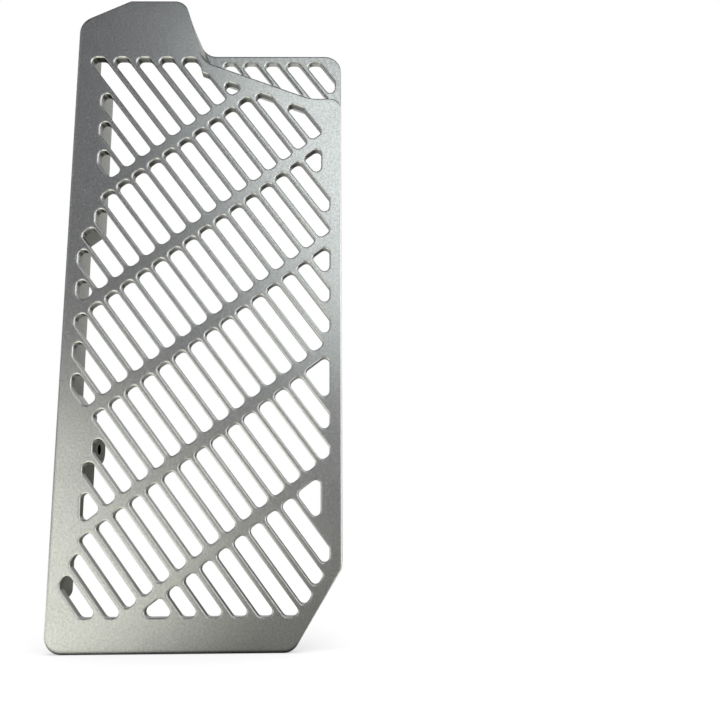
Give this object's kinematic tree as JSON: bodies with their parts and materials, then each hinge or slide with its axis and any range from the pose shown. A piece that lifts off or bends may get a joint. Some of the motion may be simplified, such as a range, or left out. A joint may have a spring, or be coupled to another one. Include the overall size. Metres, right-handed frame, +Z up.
{
  "type": "motorcycle radiator guard",
  "caption": "Milled aluminium guard plate with a diagonal slot grille, deep side walls, a set-back slotted ledge at the top and a tapped mounting lug, to shield a motorcycle radiator.",
  "frame": {"origin": "middle of the guard's width and depth, at the foot of the plate", "axes": "+Z up along the guard, +X towards its inner edge with the ledge, -Y out of the grille's face"},
  "size_m": [0.13, 0.022, 0.3135],
  "materials": {
    "aluminium": "satin, tumbled"
  },
  "bodies": {
    "root": {"radiator_guard": "aluminium"}
  },
  "joints": []
}
